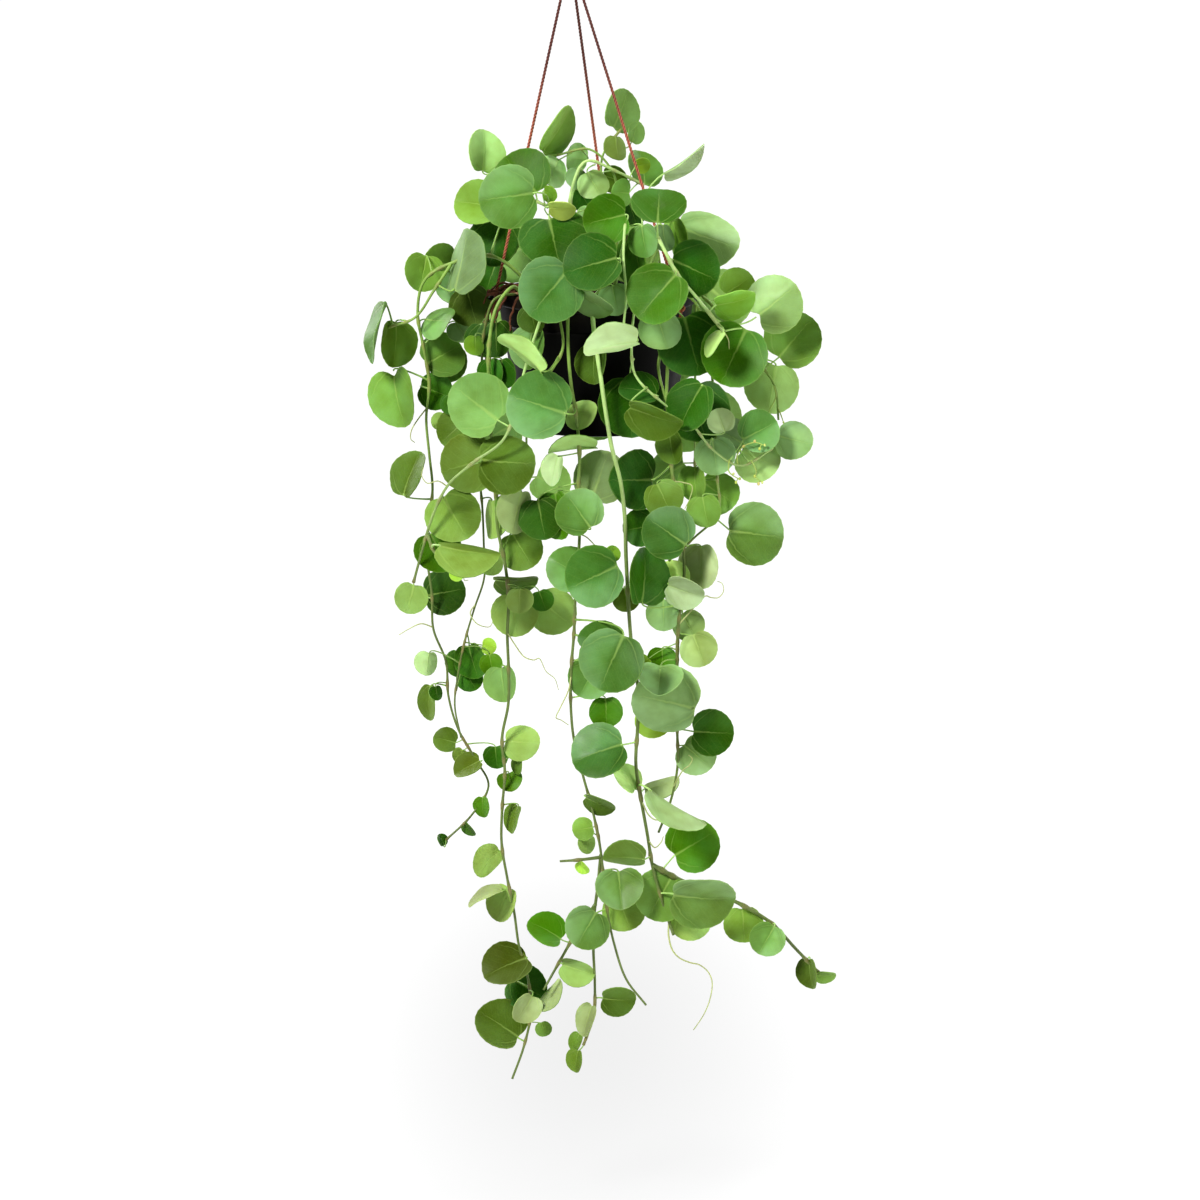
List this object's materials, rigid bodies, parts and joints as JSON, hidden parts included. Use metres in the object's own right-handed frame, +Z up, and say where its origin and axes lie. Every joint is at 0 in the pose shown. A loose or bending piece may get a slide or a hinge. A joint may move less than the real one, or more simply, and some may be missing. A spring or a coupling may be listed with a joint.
{
  "type": "potted grape ivy",
  "caption": "Trailing plant with round leaves in a black nursery pot, hung by thin twisted cords from a small wire hook; its vines arch over the rim and hang far below the pot.",
  "frame": {"origin": "inside top of the hook's crook, where the plant hangs", "axes": "+Z up; the front, as in the picture, faces -Y; +X to the right"},
  "size_m": [0.3731, 0.2859, 0.9385],
  "materials": {
    "pot_black": "smooth black plastic with a dull shine",
    "soil_brown": "loose brown potting mix with bark",
    "hook_steel": "bright drawn wire",
    "cord_rust": "reddish brown twisted cord",
    "vine_green": "fleshy leaves with a satin shine, paler below, on pale green stems"
  },
  "bodies": {
    "root": {"pot": "pot_black", "soil": "soil_brown", "hook": "hook_steel", "cord_left": "cord_rust", "cord_right": "cord_rust", "cord_back": "cord_rust", "knot_left": "cord_rust", "knot_right": "cord_rust", "knot_back": "cord_rust", "knot_top": "cord_rust", "sprig_top": "vine_green", "sprig_arch": "vine_green", "arch_pale": "vine_green", "crown_left": "vine_green", "vine_far_left": "vine_green", "vine_left_pale": "vine_green", "vine_left_thin": "vine_green", "vine_left_long": "vine_green", "vine_centre_left": "vine_green", "vine_short_centre": "vine_green", "vine_centre_thick": "vine_green", "vine_right_front": "vine_green", "vine_centre_pale": "vine_green", "vine_right_low": "vine_green", "vine_right_long": "vine_green", "vine_right_mid": "vine_green", "vine_far_right": "vine_green", "vine_back_1": "vine_green", "vine_back_2": "vine_green", "vine_back_3": "vine_green", "vine_back_4": "vine_green", "vine_back_5": "vine_green"}
  },
  "joints": []
}
